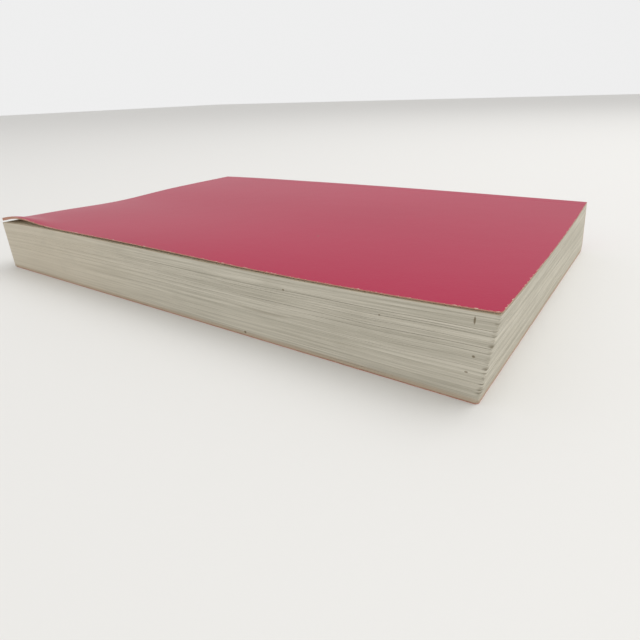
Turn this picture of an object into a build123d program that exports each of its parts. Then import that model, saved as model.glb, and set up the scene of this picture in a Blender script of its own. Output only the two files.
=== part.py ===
from build123d import *
import os

# A closed paperback book lying on its front cover, in millimetres.
# +X runs along the spine from the head to the tail, +Y from the fore edge to the spine, +Z is up.
# The origin is the bottom centre of the whole book.

# Trim size
trim_height = 228.6        # head to tail
trim_width = 152.4         # fore edge to the outside of the spine

# Leaves
leaf_thickness = 0.1
leaf_count = 221
block_thickness = leaf_count * leaf_thickness   # where the leaves are pressed together by the glue

# One sheet of card folded round the block, and the hot-melt glue under it
card_thickness = 0.3
spine_glue = 0.5           # behind the leaves' back edges
side_glue = 0.1            # the film that holds the card to the first and last leaf
hinge_strip = 6.5          # width of card glued to each face, from the spine to the hinge crease
lower_spine_radius = 4.5   # the corner the book leans on is rolled round by use
upper_spine_radius = 0.7

# Clearance between a cover's end and the glued strip, at the hinge crease
crease_gap = 0.1

# How far the top of the leaves stands above the glued thickness, as control heights of a smooth
# patch, from the head to the tail. The block is pressed in at the head and fanned at the tail.
fore_swell = (-0.7, 2.4, -0.5, 2.9)
middle_swell = (-4.0, 0.2, 0.0, 0.9)
hinge_swell = (0.0, 0.0, 0.0, 0.0)

# How far the back cover springs off the leaves at the fore edge, from the head to the tail
cover_rise = (1.9, 0.1, 0.9, 0.3)

# Levels and lines that follow from these
total_thickness = block_thickness + 2 * (side_glue + card_thickness)
block_bottom = card_thickness + side_glue
block_top = block_bottom + block_thickness
head = -trim_height / 2
fore_edge = -trim_width / 2
spine_back = trim_width / 2
hinge_line = spine_back - hinge_strip


def add_rows(first, second):
    """Adds two rows of control heights."""
    return tuple(a + b for a, b in zip(first, second))


def patch(rows, base_height, back_line):
    """A smooth face over the book from the fore edge to back_line, with its control heights in rows."""
    grid = []
    for row_index, row in enumerate(rows):
        y = fore_edge + (back_line - fore_edge) * row_index / (len(rows) - 1)
        xs = [head + trim_height * column / (len(row) - 1) for column in range(len(row))]
        grid.append([Vector(x, y, base_height + swell) for x, swell in zip(xs, row)])
    return Face.make_bezier_surface(grid)


def spine_profile(front_line, inset_back, inset_faces):
    """Cross-section across the spine, inset from the outside of the book, with its corners rounded."""
    back = spine_back - inset_back
    low = inset_faces
    high = total_thickness - inset_faces
    lower_radius = lower_spine_radius - inset_back
    upper_radius = max(upper_spine_radius - inset_back, 0.0)
    with BuildSketch(Plane.YZ) as profile:
        with BuildLine():
            Polyline((back - lower_radius, low), (front_line, low), (front_line, high),
                     (back - upper_radius, high))
            if upper_radius > 0:
                RadiusArc((back - upper_radius, high), (back, high - upper_radius), upper_radius)
            Line((back, high - upper_radius), (back, low + lower_radius))
            RadiusArc((back, low + lower_radius), (back - lower_radius, low), lower_radius)
        make_face()
    return profile.sketch


def along_spine(profile):
    """Runs a cross-section the whole way from the head to the tail."""
    return Pos(head, 0, 0) * extrude(profile, amount=trim_height, dir=(1, 0, 0))


def make_spine_cover():
    """The part of the card glued to the book: the spine and a strip of each face."""
    outside = spine_profile(hinge_line, 0, 0)
    inside = spine_profile(hinge_line, card_thickness, card_thickness)
    return along_spine(outside - inside)


def make_binding_glue():
    """Hot-melt glue: a layer behind the leaves and a thin film along each side."""
    outside = spine_profile(hinge_line, card_thickness, card_thickness)
    inside = spine_profile(hinge_line, card_thickness + spine_glue, block_bottom)
    return along_spine(outside - inside)


def make_page_block():
    """All the leaves as one solid, swelling off the glued back towards the fore edge."""
    glued_back = along_spine(spine_profile(hinge_line, card_thickness + spine_glue, block_bottom))
    top_face = patch([fore_swell, middle_swell, hinge_swell], block_top, hinge_line)
    highest = top_face.bounding_box().max.Z
    raised = Solid.extrude(top_face, Vector(0, 0, -highest))
    with BuildPart() as under:
        with Locations((0, 0, block_bottom)):
            Box(2 * trim_height, 2 * trim_width, 2 * highest,
                align=(Align.CENTER, Align.CENTER, Align.MAX))
    return (raised - under.part) + glued_back


def make_front_cover():
    """The flat cover that the book lies on."""
    length = hinge_line - crease_gap - fore_edge
    middle = fore_edge + length / 2
    return Pos(0, middle, card_thickness / 2) * Box(trim_height, length, card_thickness)


def make_back_cover():
    """The upper cover, which follows the leaves and springs off them at the fore edge."""
    rows = [add_rows(fore_swell, cover_rise), middle_swell, hinge_swell]
    inner_face = patch(rows, block_top + side_glue, hinge_line - crease_gap)
    return Solid.extrude(inner_face, Vector(0, 0, card_thickness))


pieces = {
    "page_block": make_page_block(),
    "binding_glue": make_binding_glue(),
    "spine_cover": make_spine_cover(),
    "front_cover": make_front_cover(),
    "back_cover": make_back_cover(),
}

os.makedirs("parts", exist_ok=True)
for name, piece in pieces.items():
    export_step(piece, f"parts/{name}.step")
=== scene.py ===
import bpy
import math
import numpy as np
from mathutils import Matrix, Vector


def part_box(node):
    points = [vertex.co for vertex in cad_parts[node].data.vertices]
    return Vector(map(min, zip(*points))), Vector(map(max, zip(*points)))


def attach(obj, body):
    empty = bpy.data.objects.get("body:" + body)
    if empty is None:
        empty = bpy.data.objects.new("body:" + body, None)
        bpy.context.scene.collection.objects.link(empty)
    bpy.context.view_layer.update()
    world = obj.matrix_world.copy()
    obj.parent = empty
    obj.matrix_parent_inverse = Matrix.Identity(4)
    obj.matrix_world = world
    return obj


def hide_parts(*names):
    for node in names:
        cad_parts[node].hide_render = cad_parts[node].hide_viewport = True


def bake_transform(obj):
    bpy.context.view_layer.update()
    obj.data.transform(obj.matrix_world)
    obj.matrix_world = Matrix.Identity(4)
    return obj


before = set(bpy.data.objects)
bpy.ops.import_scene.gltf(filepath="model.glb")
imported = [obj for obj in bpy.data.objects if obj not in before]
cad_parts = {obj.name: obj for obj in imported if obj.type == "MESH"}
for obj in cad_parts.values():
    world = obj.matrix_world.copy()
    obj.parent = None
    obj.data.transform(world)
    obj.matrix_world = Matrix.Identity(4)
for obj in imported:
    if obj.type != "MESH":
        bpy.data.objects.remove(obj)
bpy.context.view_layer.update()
mm = 0.001

# lines and levels of the book, all from the frame
leafLow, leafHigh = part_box("page_block")
spineLow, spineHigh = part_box("spine_cover")
lowerLow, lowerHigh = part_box("front_cover")
headX, tailX = spineLow.x, spineHigh.x
foreY, backY = lowerLow.y, spineHigh.y
creaseY = spineLow.y
cardThick = lowerHigh.z
bookTop = spineHigh.z
leafBottom = leafLow.z
leafTop = bookTop - leafBottom          # where the glue presses the leaves together
bookLength = tailX - headX
pageWidth = creaseY - foreY
bookWidth = backY - foreY

# how the book has gone out of shape with use
usedShape = {
    "headPinch": 1.3 * mm,      # the spine is thinner at the head
    "headPinchReach": 0.20,     # reaches along the book are shares of its length
    "middleSwell": 0.25 * mm,
    "middleFrom": 0.3,
    "foreSwell": 0.85 * mm,     # leaves stand looser at the fore edge
    "headDrop": 1.55 * mm,
    "headDropReach": 0.07,
    "tailFan": 2.15 * mm,       # and fan open at the tail
    "tailFanFrom": 0.62,
    "headHollow": 1.3 * mm,     # hollow across the head
    "hollowReach": 0.25,
    "hollowLine": 63 * mm,
    "hollowWidth": 28 * mm,
    "foreFade": 1.6,            # how fast the swelling fades towards the spine
    "tailLean": (3.0 * mm, -2.0 * mm, -2.5 * mm),   # the tail edge leans out over the lowest leaf
}
coverSpring = {
    "cornerCurl": 2.5 * mm,     # the corner at the head curls up
    "curlCentre": 0.06,
    "curlSpan": 0.08,
    "curlReach": 7 * mm,
    "lift": 0.15 * mm,          # elsewhere the card just springs off the leaves
    "middleLift": 0.5 * mm,
    "middleCentre": 0.42,
    "middleSpan": 0.25,
    "liftReach": 30 * mm,
}


def swell(x, y):
    s = usedShape
    along = (x - headX) / bookLength
    across = np.clip((y - foreY) / pageWidth, 0, 1)
    spine = -s["headPinch"] * np.exp(-along / s["headPinchReach"])
    middle = np.clip((along - s["middleFrom"]) / (1 - s["middleFrom"]), 0, 1)
    spine = spine + s["middleSwell"] * np.sin(math.pi * middle)
    fan = np.clip((along - s["tailFanFrom"]) / (1 - s["tailFanFrom"]), 0, None) ** 2
    fore = s["foreSwell"] - s["headDrop"] * np.exp(-along / s["headDropReach"])
    fore = fore + s["tailFan"] * fan
    dip = s["headHollow"] * np.exp(-along / s["hollowReach"])
    dip = dip * np.exp(-((y - foreY - s["hollowLine"]) / s["hollowWidth"]) ** 2)
    return spine + (fore - spine) * (1 - across) ** s["foreFade"] - dip


def spring(x, y):
    s = coverSpring
    along = (x - headX) / bookLength
    deep = np.clip(y - foreY, 0, None)
    curl = s["cornerCurl"] * np.exp(-((along - s["curlCentre"]) / s["curlSpan"]) ** 2)
    curl = curl * np.exp(-(deep / s["curlReach"]) ** 2)
    middle = np.exp(-((along - s["middleCentre"]) / s["middleSpan"]) ** 2)
    lift = s["lift"] + s["middleLift"] * middle
    return curl + lift * np.exp(-(deep / s["liftReach"]) ** 2)


def settle(x, y, z):      # moves points of the book as new to where they are now
    share = np.clip((z - leafBottom) / (leafTop - leafBottom), 0, 1)
    across = np.clip((y - foreY) / bookWidth, 0, 1)
    a, b, c = usedShape["tailLean"]
    lean = (a + b * across + c * across ** 2) * share
    ramp = np.clip((x - headX) / bookLength * 2 - 1, 0, 1)
    ramp = ramp * ramp * (3 - 2 * ramp)
    return x + lean * ramp, y, z + swell(x, y) * share


def objectMode():
    if bpy.context.object and bpy.context.object.mode != "OBJECT":
        bpy.ops.object.mode_set(mode="OBJECT")
    bpy.ops.object.select_all(action="DESELECT")


def pick(obj):
    objectMode()
    obj.select_set(True)
    bpy.context.view_layer.objects.active = obj


def readPoints(obj):
    co = np.empty(len(obj.data.vertices) * 3)
    obj.data.vertices.foreach_get("co", co)
    return co.reshape(-1, 3)


def writePoints(obj, x, y, z):
    obj.data.vertices.foreach_set("co", np.stack([x, y, z], 1).astype(np.float32).ravel())
    obj.data.update()


def keepAttribute(obj, name, values):
    attribute = obj.data.attributes.new(name, "FLOAT", "POINT")
    attribute.data.foreach_set("value", values.astype(np.float32))


# a closed block of nx by ny by nz cells, one unit each, whose rows are laid in place later
def blockOfRows(name, nx, ny, nz):
    objectMode()
    bpy.ops.mesh.primitive_grid_add(x_subdivisions=nx, y_subdivisions=ny, size=1)
    obj = bpy.context.object
    obj.name = name
    bpy.ops.object.mode_set(mode="EDIT")
    bpy.ops.mesh.select_all(action="SELECT")
    bpy.ops.transform.resize(value=(nx, ny, 1), center_override=(0, 0, 0))
    bpy.ops.transform.translate(value=(nx / 2, ny / 2, 0))
    bpy.ops.mesh.extrude_region_move(TRANSFORM_OT_translate={"value": (0, 0, nz)})
    bpy.ops.mesh.select_all(action="DESELECT")
    bpy.ops.mesh.select_mode(type="EDGE")
    bpy.ops.object.mode_set(mode="OBJECT")
    co = readPoints(obj)
    pairs = np.empty(len(obj.data.edges) * 2, int)
    obj.data.edges.foreach_get("vertices", pairs)
    pairs = pairs.reshape(-1, 2)
    upright = np.abs(co[pairs[:, 0], 2] - co[pairs[:, 1], 2]) > 0.5
    obj.data.edges.foreach_set("select", upright)
    bpy.ops.object.mode_set(mode="EDIT")
    bpy.ops.mesh.subdivide_edgering(number_cuts=nz - 1, interpolation="LINEAR", smoothness=0)
    bpy.ops.mesh.select_mode(type="FACE")
    bpy.ops.mesh.select_all(action="SELECT")
    bpy.ops.mesh.normals_make_consistent(inside=False)
    bpy.ops.object.mode_set(mode="OBJECT")
    return obj


def closerAtEnds(count, closeness):      # places from 0 to 1, closer together near both ends
    t = np.linspace(0, 1, count + 1)
    return t - closeness * np.sin(2 * math.pi * t) / (2 * math.pi)


def faceNormals(obj):
    normals = np.empty(len(obj.data.polygons) * 3)
    obj.data.polygons.foreach_get("normal", normals)
    return normals.reshape(-1, 3)


# the leaves: packets of a few sheets each, some proud of their neighbours and some behind
leafStack = {
    "packets": 88,
    "seed": 11,
    "alongCells": 130,
    "acrossCells": 50,
    "alongCloseness": 0.75,
    "acrossCloseness": 0.6,
    "backInset": 0.8 * mm,            # from the outside of the spine to the leaves
    "thickness": (0.6, 1.5),          # of a packet, beside the others
    "gapThickness": 0.18,
    "gapShare": 0.12,
    "gapDepth": 0.30 * mm,
    "proud": 0.07 * mm,
    "wander": 0.30,                   # how far a packet's thickness changes along it
    "waves": (38 * mm, 71 * mm, 140 * mm),
    "driftWave": 55 * mm,
    "endInset": 0.6,                  # head and tail stand less unevenly than the fore edge
    "dogEar": (0.5 * mm, 2.2 * mm),   # radius of the rounded corner, largest in the lowest leaves
    "topEar": 0.45,
    "smallEar": 0.45,
    "spineRoll": 3.7 * mm,
    "rollFrom": 9 * mm,               # the roll dies out over this much of the back
    "rollOver": 8.2 * mm,
}


def smoothRandom(rng, count, spacing):      # a smooth run of random values, one for each packet
    knots = rng.normal(size=int(count / spacing) + 3)
    return np.interp(np.arange(count) / spacing, np.arange(len(knots)), knots)


def makeLeaves():
    s = leafStack
    rng = np.random.default_rng(s["seed"])
    n = s["packets"]
    nx, ny, nz = s["alongCells"], s["acrossCells"], 2 * n - 1
    obj = blockOfRows("leaf_block", nx, ny, nz)
    grid = np.rint(readPoints(obj)).astype(int)
    i, j, k = grid[:, 0], grid[:, 1], grid[:, 2]
    x = headX + bookLength * closerAtEnds(nx, s["alongCloseness"])[i]
    y = foreY + (backY - s["backInset"] - foreY) * closerAtEnds(ny, s["acrossCloseness"])[j]
    along = (x - headX) / bookLength

    gap = rng.random(n) < s["gapShare"]
    gap[:2] = gap[-2:] = False
    thick = rng.uniform(*s["thickness"], n)
    thick[gap] = s["gapThickness"]
    waves = s["waves"]
    phase = rng.uniform(0, 2 * math.pi, (n, len(waves)))
    packet, level = k // 2, (k + 1) // 2
    run = x + 0.7 * y
    total, height = np.zeros(len(x)), np.zeros(len(x))
    for p in range(n):
        wave = sum(np.sin(2 * math.pi * run / w + phase[p, q]) for q, w in enumerate(waves))
        wave = wave / len(waves)
        t = thick[p] * (1 + s["wander"] * wave * (0.3 + 0.7 * along))
        total += t
        height += np.where(level > p, t, 0)
    share = height / total

    depth = 0.7 * smoothRandom(rng, n, 2.5) + 0.5 * rng.normal(size=n)
    depth = np.clip(depth + 1.4, 0, 3.2) * s["proud"] * 0.6
    depth[gap] = s["gapDepth"]
    loose = 0.25 + 0.75 * np.clip((along - 0.25) / 0.6, 0, 1)
    drift = 0.5 * s["proud"] * np.sin(2 * math.pi * run / s["driftWave"] + phase[packet, 0])
    inset = np.clip(depth[packet] * loose + drift * loose, 0, None)

    ear = rng.uniform(*s["dogEar"], n) * np.linspace(1.0, s["topEar"], n)
    ear[rng.random(n) < 0.5] *= s["smallEar"]
    r = ear[packet]
    fromTail, fromFore = tailX - x, y - foreY
    near = (fromTail < r) & (fromFore < r)
    onFore, onTail, onHead = j == 0, i == nx, i == 0
    corner = 1 - math.sqrt(0.5)

    def cut(c):      # how far the rounded corner has come in at this distance along the edge
        return np.clip(r - np.sqrt(np.clip(r * r - (r - c) ** 2, 0, None)), 0, r)

    tailAlong = fromTail + corner * r * np.clip(1 - fromTail / r, 0, 1)
    foreAlong = fromFore + corner * r * np.clip(1 - fromFore / r, 0, 1)
    px, py = x.copy(), y.copy()
    px = np.where(near & onFore, tailX - tailAlong, px)
    py = np.where(near & onFore, foreY + np.where(tailAlong < r, cut(tailAlong), 0), py)
    py = np.where(near & onTail & ~onFore, foreY + foreAlong, py)
    cutTail = np.where(foreAlong < r, cut(foreAlong), 0)
    px = np.where(near & onTail & ~onFore, tailX - cutTail, px)
    inner = near & ~onFore & ~onTail
    px = np.where(inner, tailX - tailAlong - 0.3 * r, px)
    py = np.where(inner, foreY + foreAlong + 0.3 * r, py)
    py = py + np.where(onFore, inset, 0)
    endInset = inset * s["endInset"]
    px = px - np.where(onTail, endInset, 0) + np.where(onHead, endInset, 0)

    z = leafBottom + (leafTop - leafBottom) * share
    roll = s["spineRoll"]
    up = np.clip(z - leafBottom, 0, roll)
    pull = roll - np.sqrt(np.clip(roll ** 2 - (roll - up) ** 2, 0, None))
    py = py - pull * np.clip((py - (backY - s["rollFrom"])) / s["rollOver"], 0, 1)
    keepAttribute(obj, "leafLine", z)
    keepAttribute(obj, "cornerReach", np.hypot(tailX - px, py - foreY))
    writePoints(obj, *settle(px, py, z))
    return obj


# the covers: card sheets with a narrow grooved crease
coverCard = {
    "alongCells": 150,
    "acrossCells": 84,
    "creaseCells": 14,
    "thicknessCells": 3,
    "alongCloseness": 0.7,
    "acrossCloseness": 0.6,
    "creaseWidth": 1.8 * mm,
    "creaseDepth": 0.05 * mm,
    "grooveWidth": 0.45 * mm,
    "glueFilm": 0.1 * mm,
    "wornEdge": 0.07 * mm,
    "cornerCut": 0.8 * mm,
    "frayedCorner": 1.0 * mm,     # the plies have parted here, so the card is thicker
    "frayAlong": 20 * mm,
    "frayAcross": 5 * mm,
    "seed": 5,
}


def makeCover(name, upper):
    s = coverCard
    rng = np.random.default_rng(s["seed"] + upper)
    nx, ny, nz = s["alongCells"], s["acrossCells"] + s["creaseCells"], s["thicknessCells"]
    obj = blockOfRows(name, nx, ny, nz)
    grid = np.rint(readPoints(obj)).astype(int)
    i, j, k = grid[:, 0], grid[:, 1], grid[:, 2]
    panel = pageWidth - s["creaseWidth"]
    creaseRows = s["creaseWidth"] * np.linspace(0, 1, s["creaseCells"] + 1)[1:]
    panelRows = panel * closerAtEnds(s["acrossCells"], s["acrossCloseness"])
    rows = np.concatenate([panelRows, panel + creaseRows])
    x = headX + bookLength * closerAtEnds(nx, s["alongCloseness"])[i]
    y = foreY + rows[j]
    toEdge = np.minimum(np.minimum(x - headX, tailX - x), y - foreY)
    # rough cut edges and blunted corners
    rough = s["wornEdge"] * rng.random((nx + 1, ny + 1, 2))
    x = x + np.where(i == 0, rough[i, j, 0], 0) - np.where(i == nx, rough[i, j, 0], 0)
    y = y + np.where(j == 0, rough[i, j, 1], 0)
    for endX, way in ((headX, 1), (tailX, -1)):
        off = np.clip(s["cornerCut"] - (way * (x - endX) + (y - foreY)), 0, None) / 2
        x, y = x + way * off, y + off
    fromCrease = y - creaseY + s["creaseWidth"] / 2
    groove = s["creaseDepth"] * np.exp(-(fromCrease / s["grooveWidth"]) ** 2)
    if upper:
        bottom = leafTop + s["glueFilm"]
        low, high = bottom - groove, bottom + cardThick - groove
    else:
        low, high = groove, cardThick + groove
    z = low + (high - low) * k / nz
    settledX, settledY, settledZ = settle(x, y, z)
    if upper:
        settledZ = settledZ + spring(x, y)
        away = ((x - headX) / s["frayAlong"]) ** 2 + ((y - foreY) / s["frayAcross"]) ** 2
        fray = s["frayedCorner"] * np.exp(-away)
        settledZ = settledZ - fray * (1 - k / nz)
    keepAttribute(obj, "toEdge", toEdge)
    writePoints(obj, settledX, settledY, settledZ)
    return obj


# the spine and the glue keep their sections, and take the used shape along their length
spineLength = {"stations": 48}


def sectionPiece(name, node):
    objectMode()
    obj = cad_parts[node].copy()
    obj.data = obj.data.copy()
    obj.name = name
    obj.parent = None
    for key in list(obj.keys()):
        del obj[key]
    bpy.context.scene.collection.objects.link(obj)
    pick(obj)
    bpy.ops.object.mode_set(mode="EDIT")
    bpy.ops.mesh.select_all(action="SELECT")
    bpy.ops.mesh.remove_doubles(threshold=1e-6)
    for station in range(1, spineLength["stations"]):
        bpy.ops.mesh.select_all(action="SELECT")
        at = headX + bookLength * station / spineLength["stations"]
        bpy.ops.mesh.bisect(plane_co=(at, 0, 0), plane_no=(1, 0, 0))
    bpy.ops.object.mode_set(mode="OBJECT")
    x, y, z = readPoints(obj).T
    keepAttribute(obj, "toEdge", np.minimum(x - headX, tailX - x))
    writePoints(obj, *settle(x, y, z))
    return obj


leaves = makeLeaves()
print("leaves", len(leaves.data.polygons), "faces")
backCover = makeCover("back_cover_card", True)
frontCover = makeCover("front_cover_card", False)
spineCard = sectionPiece("spine_card", "spine_cover")
glueLayer = sectionPiece("spine_glue", "binding_glue")
print("covers, spine and glue made")


class Shader:      # adds nodes to a material, a world or a group
    def __init__(self, tree):
        self.tree = tree

    def add(self, kind, values=None, **settings):
        node = self.tree.nodes.new(kind)
        for key, value in settings.items():
            setattr(node, key, value)
        for key, value in (values or {}).items():
            if isinstance(value, bpy.types.NodeSocket):
                self.tree.links.new(value, node.inputs[key])
            else:
                node.inputs[key].default_value = value
        return node

    def maths(self, operation, *values):
        return self.add("ShaderNodeMath", dict(enumerate(values)), operation=operation).outputs[0]

    def step(self, value, start, end):      # 0 at the start and 1 at the end, whichever is higher
        values = {"Value": value, "From Min": start, "From Max": end}
        node = self.add("ShaderNodeMapRange", values, interpolation_type="SMOOTHSTEP")
        return node.outputs["Result"]

    def mix(self, factor, first, second):
        node = self.add("ShaderNodeMix", data_type="RGBA")
        for index, value in ((0, factor), (6, first), (7, second)):
            if isinstance(value, bpy.types.NodeSocket):
                self.tree.links.new(value, node.inputs[index])
            else:
                node.inputs[index].default_value = value
        return node.outputs[2]

    def noise(self, vector, scale, detail=2.0, rough=0.5):
        values = {"Vector": vector, "Scale": scale, "Detail": detail, "Roughness": rough}
        return self.add("ShaderNodeTexNoise", values).outputs["Fac"]


def newMaterial(name, roughness):
    material = bpy.data.materials.new(name)
    material.use_nodes = True
    shader = Shader(material.node_tree)
    surface = material.node_tree.nodes["Principled BSDF"]
    surface.inputs["Roughness"].default_value = roughness
    return material, shader, surface


def objectPlace(shader):
    return shader.add("ShaderNodeTexCoord").outputs["Object"]


def stretched(shader, place, scale):
    return shader.add("ShaderNodeMapping", {"Vector": place, "Scale": scale}).outputs["Vector"]


def bump(shader, surface, height, distance):
    node = shader.add("ShaderNodeBump", {"Height": height, "Distance": distance, "Strength": 1.0})
    shader.tree.links.new(node.outputs["Normal"], surface.inputs["Normal"])


def colour(shader, surface, socket):
    shader.tree.links.new(socket, surface.inputs["Base Color"])


# the clouding and the fibres that leaves and bare card share
def makePaperGrain():
    group = bpy.data.node_groups.new("paperGrain", "ShaderNodeTree")
    sockets = (("Place", "INPUT", "NodeSocketVector"), ("Cloud Scale", "INPUT", "NodeSocketFloat"),
               ("Fibre Scale", "INPUT", "NodeSocketFloat"), ("Cloud", "OUTPUT", "NodeSocketFloat"),
               ("Fibre", "OUTPUT", "NodeSocketFloat"))
    for name, side, kind in sockets:
        group.interface.new_socket(name, in_out=side, socket_type=kind)
    shader = Shader(group)
    given = shader.add("NodeGroupInput").outputs
    cloud = shader.noise(given["Place"], given["Cloud Scale"], 4.0, 0.6)
    fibre = shader.noise(given["Place"], given["Fibre Scale"])
    shader.add("NodeGroupOutput", {"Cloud": cloud, "Fibre": fibre})
    return group


def plainPaper(name, roughness, cloudScale, fibreScale, first, second):
    material, shader, surface = newMaterial(name, roughness)
    values = {"Place": objectPlace(shader), "Cloud Scale": cloudScale, "Fibre Scale": fibreScale}
    grain = shader.add("ShaderNodeGroup", values, node_tree=paperGrain).outputs
    colour(shader, surface, shader.mix(grain["Cloud"], first, second))
    bump(shader, surface, grain["Fibre"], 0.02 * mm)
    return material


leafColours = {
    "pale": (0.68, 0.64, 0.54, 1),
    "dull": (0.49, 0.46, 0.375, 1),
    "warm": (0.66, 0.585, 0.46, 1),
    # brown painted shade and reflection for the leaves next to the covers
    "shadeNearCovers": (0.50, 0.37, 0.24, 1),
    # dark brown for dirt marks, the dirty corner and the cover speck, and also painted shadow in
    # the gap under the upper cover
    "grimeAndShade": (0.16, 0.12, 0.06, 1),
    "faceDull": (0.66, 0.60, 0.47, 1),
    "facePale": (0.72, 0.67, 0.55, 1),
}

# specks and smears on the fore edge: from the head, height, half width, half height, strength
leafMarks = (
    (225.6 * mm, 22.7 * mm, 0.3 * mm, 1.2 * mm, 0.8),
    (226.2 * mm, 13.2 * mm, 0.5 * mm, 0.4 * mm, 0.8),
    (224.8 * mm, 8.5 * mm, 0.6 * mm, 0.3 * mm, 0.7),
    (200.4 * mm, 18.5 * mm, 0.4 * mm, 0.3 * mm, 0.7),
    (168.2 * mm, 19.5 * mm, 0.5 * mm, 0.35 * mm, 0.8),
    (150.8 * mm, 1.3 * mm, 0.6 * mm, 0.5 * mm, 0.8),
    (158.6 * mm, 10.4 * mm, 13.0 * mm, 0.5 * mm, 0.25),
)


def leafEdgeMaterial():
    material, shader, surface = newMaterial("leafEdge", 0.85)
    place = objectPlace(shader)
    leaf = shader.add("ShaderNodeAttribute", attribute_name="leafLine").outputs["Fac"]
    parts = shader.add("ShaderNodeSeparateXYZ", {"Vector": place})
    alongLeaf = {"X": parts.outputs["X"], "Y": parts.outputs["Y"], "Z": leaf}
    run = shader.add("ShaderNodeCombineXYZ", alongLeaf).outputs[0]
    coarse = shader.noise(stretched(shader, run, (14, 14, 1300)), 1.0, 3.0, 0.6)
    fine = shader.noise(stretched(shader, run, (40, 40, 5200)), 1.0, 2.0, 0.6)
    blotch = shader.noise(stretched(shader, place, (60, 60, 110)), 1.0, 3.0, 0.6)
    streak = shader.maths("ADD", shader.maths("MULTIPLY", coarse, 0.6),
                          shader.maths("MULTIPLY", fine, 0.4))
    base = shader.mix(shader.step(streak, 0.38, 0.62), leafColours["dull"], leafColours["pale"])
    towardsHead = shader.step(parts.outputs["X"], 0.02, -0.08)
    warm = shader.mix(shader.maths("MULTIPLY", towardsHead, 0.6), base, leafColours["warm"])
    dulled = shader.maths("MULTIPLY", shader.step(blotch, 0.5, 0.75), 0.3)
    warm = shader.mix(dulled, warm, leafColours["dull"])
    # painted shade browns the outermost leaves next to both covers, with a painted reflection of
    # the lower cover at the bottom; the rounded corner is dirty
    outer = shader.maths("MAXIMUM", shader.step(leaf, leafTop - 0.5 * mm, leafTop - 0.1 * mm),
                         shader.step(leaf, leafBottom + 1.6 * mm, leafBottom))
    shadeNearCovers = shader.mix(shader.maths("MULTIPLY", outer, 0.65), warm, leafColours["shadeNearCovers"])
    reach = shader.add("ShaderNodeAttribute", attribute_name="cornerReach").outputs["Fac"]
    notch = shader.noise(stretched(shader, run, (0, 0, 900)), 1.0, 2.0, 0.6)
    grimeAndShade = shader.maths("MULTIPLY", shader.step(reach, 1.6 * mm, 0.3 * mm),
                         shader.step(notch, 0.5, 0.6))
    soiledAndShaded = shader.mix(shader.maths("MULTIPLY", grimeAndShade, 0.6), shadeNearCovers, leafColours["grimeAndShade"])
    # painted shadow in the gap under the upper cover darkens the topmost leaves
    underCover = shader.step(leaf, leafTop - 0.3 * mm, leafTop - 0.05 * mm)
    shade = shader.maths("MULTIPLY", underCover, 0.6)
    soiledAndShaded = shader.mix(shade, soiledAndShaded, leafColours["grimeAndShade"])
    for x, z, wide, high, strength in leafMarks:
        off = shader.add("ShaderNodeVectorMath", {0: place, 1: (headX + x, foreY, z)},
                         operation="SUBTRACT").outputs[0]
        scaled = stretched(shader, off, (1 / wide, 20, 1 / high))
        near = shader.add("ShaderNodeVectorMath", {0: scaled}, operation="LENGTH").outputs["Value"]
        ragged = shader.maths("ADD", near, shader.maths("MULTIPLY", fine, 0.6))
        mask = shader.maths("MULTIPLY", shader.step(ragged, 1.4, 0.8), strength)
        soiledAndShaded = shader.mix(mask, soiledAndShaded, leafColours["grimeAndShade"])
    colour(shader, surface, soiledAndShaded)
    bump(shader, surface, streak, 0.06 * mm)
    return material


cardColours = {
    "print": (0.42, 0.009, 0.058, 1),
    "printDeep": (0.37, 0.007, 0.048, 1),
    "core": (0.72, 0.60, 0.47, 1),
    "stained": (0.40, 0.15, 0.11, 1),
    "cut": (0.62, 0.36, 0.25, 1),
    "insideAged": (0.55, 0.42, 0.28, 1),
    "inside": (0.66, 0.56, 0.42, 1),
}
coverSpeck = {
    "place": (headX + 151.3 * mm, foreY + 43.4 * mm, bookTop),
    "reach": (0.9 * mm, 0.5 * mm),      # clean from the first distance, dark within the second
}


def printMaterial():
    material, shader, surface = newMaterial("coverPrint", 0.3)
    surface.inputs["Specular IOR Level"].default_value = 0.1
    place = objectPlace(shader)
    cloud = shader.noise(place, 14.0, 3.0)
    crinkle = shader.noise(stretched(shader, place, (1, 1.6, 1)), 900.0, 3.0, 0.6)
    swirl = shader.noise(place, 120.0, 2.0)
    edge = shader.add("ShaderNodeAttribute", attribute_name="toEdge").outputs["Fac"]
    ragged = shader.noise(place, 900.0, 3.0, 0.7)
    limit = shader.maths("MULTIPLY", shader.step(ragged, 0.5, 0.8), 0.5 * mm)
    worn = shader.maths("LESS_THAN", edge, limit)
    base = shader.mix(cloud, cardColours["printDeep"], cardColours["print"])
    speck = shader.add("ShaderNodeVectorMath", {0: place, 1: coverSpeck["place"]},
                       operation="DISTANCE").outputs["Value"]
    base = shader.mix(shader.step(speck, *coverSpeck["reach"]), base, leafColours["grimeAndShade"])
    colour(shader, surface, shader.mix(worn, base, cardColours["core"]))
    height = shader.maths("ADD", crinkle, shader.maths("MULTIPLY", swirl, 2.0))
    bump(shader, surface, height, 0.02 * mm)
    return material


def cutEdgeMaterial():
    material, shader, surface = newMaterial("cardCut", 0.8)
    place = objectPlace(shader)
    fibre = shader.noise(stretched(shader, place, (200, 200, 2500)), 1.0, 3.0, 0.7)
    colour(shader, surface, shader.mix(fibre, cardColours["stained"], cardColours["cut"]))
    bump(shader, surface, fibre, 0.05 * mm)
    return material


glueColours = {
    "amber": (0.55, 0.46, 0.30, 1),
    "pale": (0.66, 0.58, 0.42, 1),
}


def glueMaterial():
    material, shader, surface = newMaterial("hotMelt", 0.45)
    cloud = shader.noise(objectPlace(shader), 300.0, 3.0)
    colour(shader, surface, shader.mix(cloud, glueColours["amber"], glueColours["pale"]))
    bump(shader, surface, cloud, 0.05 * mm)
    return material


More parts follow.
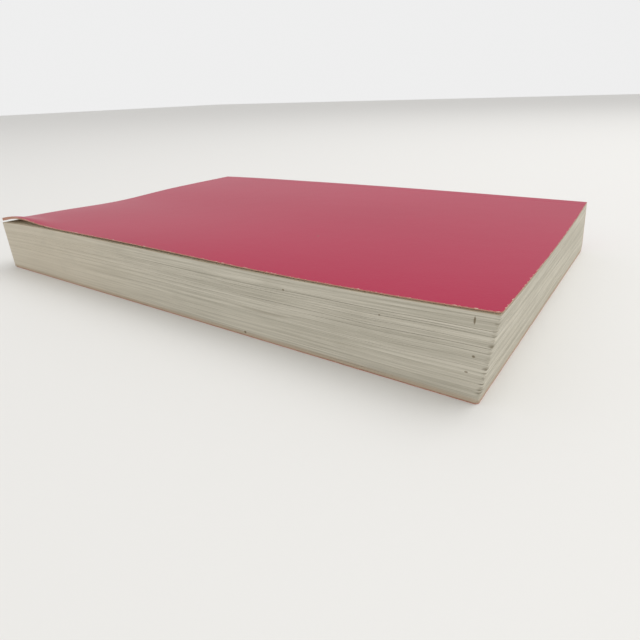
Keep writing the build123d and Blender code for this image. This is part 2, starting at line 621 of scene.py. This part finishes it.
def capFaces(obj):      # the open faces of the first and last leaf
    line = np.empty(len(obj.data.vertices))
    obj.data.attributes["leafLine"].data.foreach_get("value", line)
    low, high = line.min(), line.max()
    index = np.zeros(len(obj.data.polygons), np.int32)
    for number, face in enumerate(obj.data.polygons):
        levels = line[list(face.vertices)]
        if levels.min() > high - 1e-7 or levels.max() < low + 1e-7:
            index[number] = 1
    return index


def dress(obj, materials, index, smoothAngle):
    obj.data.materials.clear()
    for material in materials:
        obj.data.materials.append(material)
    obj.data.polygons.foreach_set("material_index", index.astype(np.int32))
    obj.data.update()
    pick(obj)
    bpy.ops.object.shade_smooth_by_angle(angle=math.radians(smoothAngle))


paperGrain = makePaperGrain()
leafEdge = leafEdgeMaterial()
leafFace = plainPaper("leafFace", 0.8, 18.0, 1400.0, leafColours["faceDull"],
                      leafColours["facePale"])
coverPrint, cardCut = printMaterial(), cutEdgeMaterial()
cardInside = plainPaper("cardInside", 0.75, 25.0, 1200.0, cardColours["insideAged"],
                        cardColours["inside"])
hotMelt = glueMaterial()

# a face counts as the top, the underside or an end when it leans this far that way
facing = 0.6
for cover, way in ((backCover, 1), (frontCover, -1)):
    outward = faceNormals(cover)[:, 2] * way
    side = np.where(outward > facing, 0, np.where(outward < -facing, 2, 1))
    dress(cover, [coverPrint, cardCut, cardInside], side, 40)
ends = np.where(np.abs(faceNormals(spineCard)[:, 0]) > facing, 1, 0)
dress(spineCard, [coverPrint, cardCut], ends, 35)
dress(glueLayer, [hotMelt], np.zeros(len(glueLayer.data.polygons)), 35)
dress(leaves, [leafEdge, leafFace], capFaces(leaves), 25)
print("materials on")

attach(leaves, "book_block")
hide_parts("page_block")
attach(spineCard, "book_block")
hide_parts("spine_cover")
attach(glueLayer, "book_block")
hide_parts("binding_glue")
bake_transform(backCover)
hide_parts("back_cover")
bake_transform(frontCover)
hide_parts("front_cover")


studio = {
    "floorSize": 8.0,
    "floorColour": (0.80, 0.795, 0.775, 1),
    "skyColour": (1.0, 0.99, 0.98, 1),
    "skyStrength": 0.74,
    "backdropStrength": 0.86,      # what the camera itself sees of the sky
    "lampPlace": (0.5, 0.5, 1.4),
    "lampSize": 1.2,
    "lampPower": 11.0,
}


def makeFloor():
    objectMode()
    bpy.ops.mesh.primitive_plane_add(size=studio["floorSize"], location=(0, 0, 0))
    floor = bpy.context.object
    floor.name = "floor"
    material, shader, surface = newMaterial("paleFloor", 0.55)
    surface.inputs["Base Color"].default_value = studio["floorColour"]
    surface.inputs["Specular IOR Level"].default_value = 0.2
    # seen from below, the floor is clear, so that the lower cover can be looked at
    back = shader.add("ShaderNodeNewGeometry").outputs["Backfacing"]
    clear = shader.add("ShaderNodeBsdfTransparent").outputs[0]
    output = material.node_tree.nodes["Material Output"]
    mixed = shader.add("ShaderNodeMixShader", {0: back, 1: surface.outputs[0], 2: clear})
    shader.tree.links.new(mixed.outputs[0], output.inputs["Surface"])
    floor.data.materials.append(material)


def makeLight():
    world = bpy.data.worlds.new("softRoom")
    bpy.context.scene.world = world
    world.use_nodes = True
    shader = Shader(world.node_tree)
    sky = world.node_tree.nodes["Background"]
    sky.inputs["Color"].default_value = studio["skyColour"]
    sky.inputs["Strength"].default_value = studio["skyStrength"]
    backdrop = {"Color": (1, 1, 1, 1), "Strength": studio["backdropStrength"]}
    white = shader.add("ShaderNodeBackground", backdrop)
    seen = shader.add("ShaderNodeLightPath").outputs["Is Camera Ray"]
    mixed = shader.add("ShaderNodeMixShader", {0: seen, 1: sky.outputs[0], 2: white.outputs[0]})
    output = world.node_tree.nodes["World Output"]
    shader.tree.links.new(mixed.outputs[0], output.inputs["Surface"])
    objectMode()
    bpy.ops.object.light_add(type="AREA", location=studio["lampPlace"])
    lamp = bpy.context.object
    lamp.data.size = studio["lampSize"]
    lamp.data.energy = studio["lampPower"]
    lamp.rotation_euler = Vector(studio["lampPlace"]).to_track_quat("Z", "Y").to_euler()


eye = {
    "place": (142.3 * mm, -183.5 * mm, 72.35 * mm),
    "turn": (65.506, 1.866, 34.225),
    "lens": 27.97,
}


def makeCamera():
    objectMode()
    bpy.ops.object.camera_add(location=eye["place"],
                              rotation=[math.radians(angle) for angle in eye["turn"]])
    camera = bpy.context.object
    camera.data.lens = eye["lens"]
    camera.data.sensor_width = 36
    camera.data.clip_start = 0.005
    bpy.context.scene.camera = camera


makeFloor()
makeLight()
makeCamera()
bpy.context.scene.view_settings.view_transform = "Standard"
print("floor, light and camera set")
